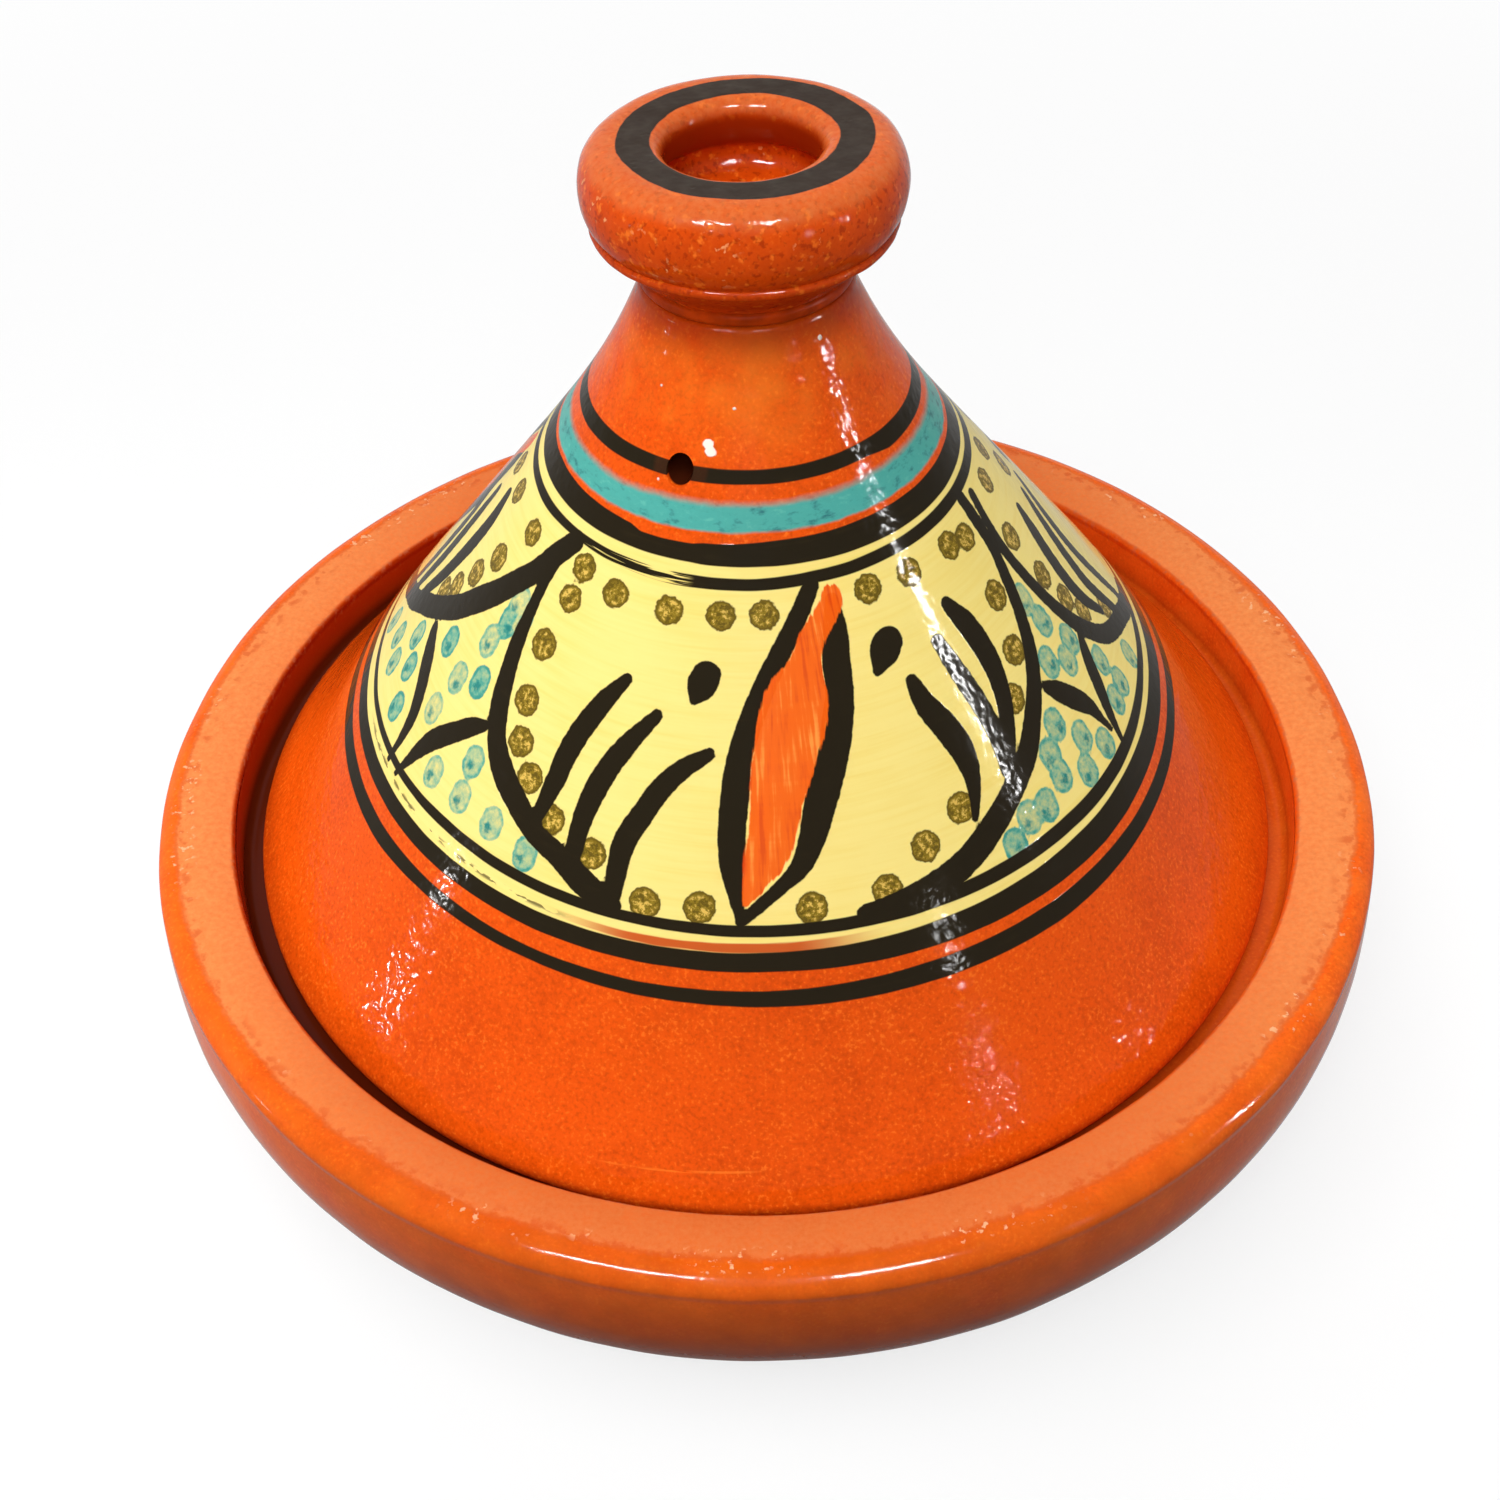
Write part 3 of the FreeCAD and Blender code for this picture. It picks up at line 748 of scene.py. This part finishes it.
def shown(piece, name, node, body, materials):
    """Makes a bmesh the object that stands for a CAD node."""
    for face in piece.faces:
        face.smooth = True
    for edge in piece.edges:
        edge.smooth = edge.calc_face_angle(0) < SHARP
    mesh = bpy.data.meshes.new(name)
    piece.to_mesh(mesh)
    piece.free()
    for material in materials:
        mesh.materials.append(material)
    made = bpy.data.objects.new(name, mesh)
    bpy.context.scene.collection.objects.link(made)
    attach(made, body)
    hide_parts(node)
    return made


def bored(piece, centre, direction, radius):
    """Bores a round hole through the wall of a turned piece."""
    solid = bpy.data.meshes.new("lid_wall")
    piece.to_mesh(solid)
    piece.free()
    drill = bmesh.new()
    bmesh.ops.create_cone(
        drill, cap_ends=True, segments=DRILL_SIDES, radius1=radius, radius2=radius, depth=DRILL_LENGTH
    )
    turn = direction.to_track_quat("Z", "Y").to_matrix().to_4x4()
    bmesh.ops.transform(drill, matrix=Matrix.Translation(centre) @ turn, verts=drill.verts)
    bit = bpy.data.meshes.new("drill")
    drill.to_mesh(bit)
    drill.free()
    wall, cutter = (bpy.data.objects.new(m.name, m) for m in (solid, bit))
    for o in (wall, cutter):
        bpy.context.scene.collection.objects.link(o)
    cut = wall.modifiers.new("hole", "BOOLEAN")
    cut.operation = "DIFFERENCE"
    cut.object = cutter
    cut.solver = "MANIFOLD"
    result = bpy.data.meshes.new_from_object(wall.evaluated_get(bpy.context.evaluated_depsgraph_get()))
    piece = bmesh.new()
    piece.from_mesh(result)
    for o in (wall, cutter):
        bpy.data.objects.remove(o)
    for m in (solid, bit, result):
        bpy.data.meshes.remove(m)
    return piece


def brush_line(stroke):
    """Points close together on a smooth line through a stroke's own points."""
    p = np.array(stroke, float)
    p = np.vstack((2 * p[0] - p[1], p, 2 * p[-1] - p[-2]))
    t = np.linspace(0, 1, BRUSH_STEPS + 1)[:-1, None]
    runs = [
        0.5 * (2 * b + (c - a) * t + (2 * a - 5 * b + 4 * c - d) * t**2 + (3 * b - a - 3 * c + d) * t**3)
        for a, b, c, d in zip(p, p[1:], p[2:], p[3:])
    ]
    return np.vstack((*runs, p[-2]))


def turned_by(turn, strokes):
    """The same strokes further round the lid."""
    return [[(point[0] + turn, *point[1:]) for point in stroke] for stroke in strokes]


class Skin:
    """The outside of the lid as the brush sees it: turn, height and radius of each point."""

    def __init__(self, mesh):
        count = len(mesh.vertices)
        co, normal = np.zeros(3 * count), np.zeros(3 * count)
        mesh.vertices.foreach_get("co", co)
        mesh.vertex_normals.foreach_get("vector", normal)
        x, y, z = MM * co.reshape(-1, 3).T
        self.mesh = mesh
        self.turn = np.degrees(np.arctan2(x, -y))
        self.height = z
        self.radius = np.hypot(x, y)
        nx, ny, _ = normal.reshape(-1, 3).T
        self.outside = nx * x + ny * y > 0

    def reach(self, line):
        """Distance in millimetres of each near point from the edge of a stroke, and which points those are."""
        line = np.atleast_2d(line)
        middle = (line[:, 0].min() + line[:, 0].max()) / 2
        span = (line[:, 0].max() - line[:, 0].min()) / 2
        away = (self.turn - middle + 180) % 360 - 180
        margin = FAR + line[:, 2].max() / 2
        near = (np.abs(away) < span + np.degrees(margin / FIELD_RADIUS)) & self.outside
        near &= (self.height > line[:, 1].min() - margin) & (self.height < line[:, 1].max() + margin)
        across = np.radians(away[near, None] + middle - line[None, :, 0]) * self.radius[near, None]
        up = (self.height[near, None] - line[None, :, 1]) * SLANT
        return near, (np.hypot(across, up) - line[None, :, 2] / 2).min(1)

    def paint(self, name, strokes):
        """Keeps on the mesh how far each point is from the nearest of these strokes."""
        best = np.full(len(self.turn), FAR)
        for stroke in strokes:
            near, distance = self.reach(brush_line(stroke) if len(stroke) > 1 else stroke)
            best[near] = np.minimum(best[near], distance)
        self.keep(name, best)

    def dab(self, name, washes):
        """Keeps the nearest watery dot's distance and depth, and the distance of the pool that dried in it."""
        best, depth = np.full(len(self.turn), FAR), np.zeros(len(self.turn))
        pools = []
        for turn, height, strength in washes:
            ends = ((turn, height + WASH_LENGTH / 2, WASH_WIDTH), (turn, height - WASH_LENGTH / 2, WASH_WIDTH))
            near, distance = self.reach(ends)
            closer = distance < best[near]
            here = np.flatnonzero(near)[closer]
            best[here] = distance[closer]
            depth[here] = strength
            pools.append(((turn + POOL_STRAY * math.sin(height), height - POOL_DROP, POOL_WIDTH),))
        self.keep(name, best)
        self.keep(name + "_depth", depth)
        self.paint(name + "_pool", pools)

    def keep(self, name, values):
        """Stores a value for each point of the mesh."""
        self.mesh.attributes.new(name, "FLOAT", "POINT").data.foreach_set("value", values.astype(np.float32))


class TAGINE_OT_base_dish(bpy.types.Operator):
    """Turn and glaze the dish"""

    bl_idname = "tagine.base_dish"
    bl_label = "Dish"

    def execute(self, context):
        scene = context.scene
        piece = turned("base_dish", scene.tagine_turning.dish_steps)
        add_rows(piece, scene.tagine_turning.plain_row)
        crown_rim(piece, scene.tagine_turning.rim_crown)
        waver(piece, scene.tagine_turning.dish_waver, DISH_LUMP)
        for face in piece.faces:
            face.material_index = int(face.normal.z < -0.95 and face.calc_center_median().z < FOOT_TOP)
        colours = scene.tagine_colours
        materials = (dish_glaze(colours), bare_clay(colours))
        shown(piece, "glazed_dish", "base_dish", "dish", materials)
        return {"FINISHED"}


class TAGINE_OT_lid_cone(bpy.types.Operator):
    """Turn the cone, bore its steam hole and paint it"""

    bl_idname = "tagine.lid_cone"
    bl_label = "Painted Cone"

    hole_width: FloatProperty(name="Hole width", description="Width of the steam hole", unit="LENGTH", default=0.0052)

    def execute(self, context):
        scene = context.scene
        sizes = scene.tagine_turning
        piece = turned("lid_cone", sizes.lid_steps)
        add_rows(piece, sizes.paint_row, *PAINTED)
        add_rows(piece, sizes.plain_row)
        turn = math.radians(STEAM_HOLE[0])
        outwards = Vector((math.sin(turn), -math.cos(turn), 0))
        centre = outwards * DRILL_CENTRE + Vector((0, 0, STEAM_HOLE[1] / MM))
        piece = bored(piece, centre, outwards, self.hole_width / 2)
        for face in piece.faces:
            at = face.calc_center_median()
            inside = face.normal.x * at.x + face.normal.y * at.y < 0 or face.normal.z < -0.9
            off_axis = (at - centre) - (at - centre).dot(outwards) * outwards
            face.material_index = int(inside and off_axis.length > self.hole_width / 2 + BORE_MARGIN)
        colours = scene.tagine_colours
        materials = (lid_glaze(colours), bare_clay(colours))
        lid = shown(piece, "painted_cone", "lid_cone", "lid", materials)
        skin = Skin(lid.data)
        leaf_right = [*LEAF_OUTLINE, *RIGHT_BLADES, FRONT_RIGHT_BORDER, *INK_DROPS]
        leaf_left = [*LEAF_OUTLINE, *LEFT_BLADES, FRONT_LEFT_BORDER, INK_DROPS[0]]
        strokes = [FRONT_LEFT_BORDER, *leaf_right, *LEFT_BLADES, *LEFT_PANEL, *RIGHT_PANEL, *LEFT_SPRIG, *RIGHT_SPRIG]
        strokes += turned_by(PANEL_TURN, leaf_right) + turned_by(-PANEL_TURN, leaf_left)
        strokes += turned_by(PANEL_TURN, RIGHT_SPRIG)
        skin.paint("ink", strokes)
        skin.paint("leaf", [LEAF_FILL, *turned_by(PANEL_TURN, [LEAF_FILL]), *turned_by(-PANEL_TURN, [LEAF_FILL])])
        dots = [*FRONT_DOTS, *LEFT_PANEL_DOTS, *RIGHT_PANEL_DOTS]
        dots += [(t + PANEL_TURN, h) for t, h in FRONT_DOTS if t > RIGHT_HALF_FROM]
        dots += [(t - PANEL_TURN, h) for t, h in FRONT_DOTS if t < LEFT_HALF_TO]
        skin.paint("dot", [((t, h, UPPER_DOT if h > UPPER_ROW else OLIVE_DOT),) for t, h in dots])
        washes = [*LEFT_WASHES, *RIGHT_WASHES, *((t + PANEL_TURN, h, s) for t, h, s in RIGHT_WASHES)]
        skin.dab("wash", washes)
        for name, edges in RINGS.items():
            turns, low, high = np.array(edges).T
            skin.keep(name + "_low", np.interp(skin.turn, turns, low, period=360))
            skin.keep(name + "_high", np.interp(skin.turn, turns, high, period=360))
        return {"FINISHED"}


class TAGINE_OT_luting_ring(bpy.types.Operator):
    """Turn the ring of slip that joins the knob to the cone"""

    bl_idname = "tagine.luting_ring"
    bl_label = "Luting Ring"

    def execute(self, context):
        piece = turned("luting_ring", context.scene.tagine_turning.knob_steps)
        shown(piece, "luting_seam", "luting_ring", "lid", [luting_glaze(context.scene.tagine_colours)])
        return {"FINISHED"}


class TAGINE_OT_lid_knob(bpy.types.Operator):
    """Turn and glaze the hollow knob"""

    bl_idname = "tagine.lid_knob"
    bl_label = "Knob"

    def execute(self, context):
        scene = context.scene
        piece = turned("lid_knob", scene.tagine_turning.knob_steps)
        add_rows(piece, scene.tagine_turning.knob_row)
        waver(piece, scene.tagine_turning.knob_waver, KNOB_LUMP)
        shown(piece, "glazed_knob", "lid_knob", "lid", [knob_glaze(scene.tagine_colours)])
        return {"FINISHED"}


def softbox(name, turn, lift, distance, width, height, power, glints=False):
    """A lamp panel that faces the pot. Fills light the pot, and glints only shine in its gloss."""
    lamp = bpy.data.lights.new(name, "AREA")
    lamp.shape = "RECTANGLE"
    lamp.size = width
    lamp.size_y = height
    lamp.energy = power
    panel = bpy.data.objects.new(name, lamp)
    a, e = math.radians(turn), math.radians(lift)
    outwards = Vector((math.sin(a) * math.cos(e), -math.cos(a) * math.cos(e), math.sin(e)))
    facing = outwards.to_track_quat("Z", "Y").to_matrix().to_4x4()
    panel.matrix_world = Matrix.Translation(outwards * distance + Vector((0, 0, LAMP_AIM))) @ facing
    panel.visible_camera = False
    panel.visible_glossy = glints
    panel.visible_diffuse = not glints
    bpy.context.scene.collection.objects.link(panel)


class TAGINE_OT_stage(bpy.types.Operator):
    """Lay the floor, hang the lamps and set the camera"""

    bl_idname = "tagine.stage"
    bl_label = "Stage"

    def execute(self, context):
        scene = context.scene
        studio = scene.tagine_studio
        ground = bmesh.new()
        bmesh.ops.create_grid(ground, x_segments=4, y_segments=4, size=studio.floor_size)
        mesh = bpy.data.meshes.new("floor")
        ground.to_mesh(mesh)
        ground.free()
        floor = bpy.data.objects.new("floor", mesh)
        scene.collection.objects.link(floor)
        paper = bpy.data.materials.new("floor_paper")
        paper.use_nodes = True
        tree = paper.node_tree
        root = Shade(tree)
        ray = root.add("ShaderNodeLightPath", {}, {}, "Is Camera Ray")
        mirrored = ray.other("Is Glossy Ray") | ray.other("Is Transmission Ray")
        white = root.add("ShaderNodeEmission", {}, {"Color": (1, 1, 1, 1), "Strength": 1.0})
        dim = root.add("ShaderNodeBsdfDiffuse", {}, {"Color": tuple(studio.bounce)})
        pale = root.add("ShaderNodeBsdfDiffuse", {}, {"Color": tuple(studio.floor)})
        lit = root.add("ShaderNodeMixShader", {}, {0: ray, 1: dim, 2: pale})
        place = root.add("ShaderNodeTexCoord", {}, {}, "Object")
        away = root.add("ShaderNodeVectorMath", {"operation": "LENGTH"}, {0: place}, "Value").fade(0.2, 0.9)
        share = ray * (away * 0.25 + 0.75) + mirrored * (away * 0.6 + 0.4)
        mixed = root.add("ShaderNodeMixShader", {}, {0: share, 1: lit, 2: white})
        tree.links.new(mixed.socket, tree.nodes["Material Output"].inputs["Surface"])
        mesh.materials.append(paper)

        world = bpy.data.worlds.new("studio")
        world.use_nodes = True
        scene.world = world
        tree = world.node_tree
        root = Shade(tree)
        ray = root.add("ShaderNodeLightPath", {}, {}, "Is Camera Ray")
        seen = ray | ray.other("Is Glossy Ray") | ray.other("Is Transmission Ray")
        backdrop = root.add("ShaderNodeBackground", {}, {"Color": (1, 1, 1, 1), "Strength": 1.0})
        fill = root.add("ShaderNodeBackground", {}, {"Color": (1, 1, 1, 1), "Strength": studio.fill})
        mixed = root.add("ShaderNodeMixShader", {}, {0: seen, 1: fill, 2: backdrop})
        tree.links.new(mixed.socket, tree.nodes["World Output"].inputs["Surface"])

        for lamp in FILL_LAMPS:
            softbox(*lamp)
        for lamp in GLINT_LAMPS:
            softbox(*lamp, glints=True)

        camera = bpy.data.cameras.new("camera")
        camera.lens = studio.lens
        camera.sensor_width = 36
        camera.clip_start = 0.01
        eye = bpy.data.objects.new("camera", camera)
        turn, tilt, roll = studio.aim
        aim = Matrix.Rotation(turn, 4, "Z") @ Matrix.Rotation(tilt, 4, "X") @ Matrix.Rotation(roll, 4, "Z")
        eye.matrix_world = Matrix.Translation(studio.eye) @ aim
        scene.collection.objects.link(eye)
        scene.camera = eye
        scene.view_settings.view_transform = "Standard"
        return {"FINISHED"}


PIECES = (TAGINE_OT_base_dish, TAGINE_OT_lid_cone, TAGINE_OT_luting_ring, TAGINE_OT_lid_knob, TAGINE_OT_stage)
GROUPS = {
    "tagine_colours": TAGINE_PG_colours,
    "tagine_turning": TAGINE_PG_turning,
    "tagine_studio": TAGINE_PG_studio,
}


class TAGINE_PT_pot(bpy.types.Panel):
    """Lists the pieces of the pot"""

    bl_idname = "TAGINE_PT_pot"
    bl_label = "Tagine Pot"
    bl_space_type = "VIEW_3D"
    bl_region_type = "UI"
    bl_category = "Tagine"

    def draw(self, context):
        for piece in PIECES:
            self.layout.operator(piece.bl_idname)
        for name, group in GROUPS.items():
            box = self.layout.box()
            for prop in group.__annotations__:
                box.prop(getattr(context.scene, name), prop)


def register():
    for group in (*GROUPS.values(), *PIECES, TAGINE_PT_pot):
        bpy.utils.register_class(group)
    for name, group in GROUPS.items():
        setattr(bpy.types.Scene, name, PointerProperty(type=group))


def unregister():
    for name in GROUPS:
        delattr(bpy.types.Scene, name)
    for group in (TAGINE_PT_pot, *reversed(PIECES), *reversed(GROUPS.values())):
        bpy.utils.unregister_class(group)


def main():
    """Makes the whole pot and its stage."""
    register()
    bpy.ops.tagine.base_dish()
    bpy.ops.tagine.lid_cone()
    bpy.ops.tagine.luting_ring()
    bpy.ops.tagine.lid_knob()
    bpy.ops.tagine.stage()


if __name__ == "__main__":
    main()
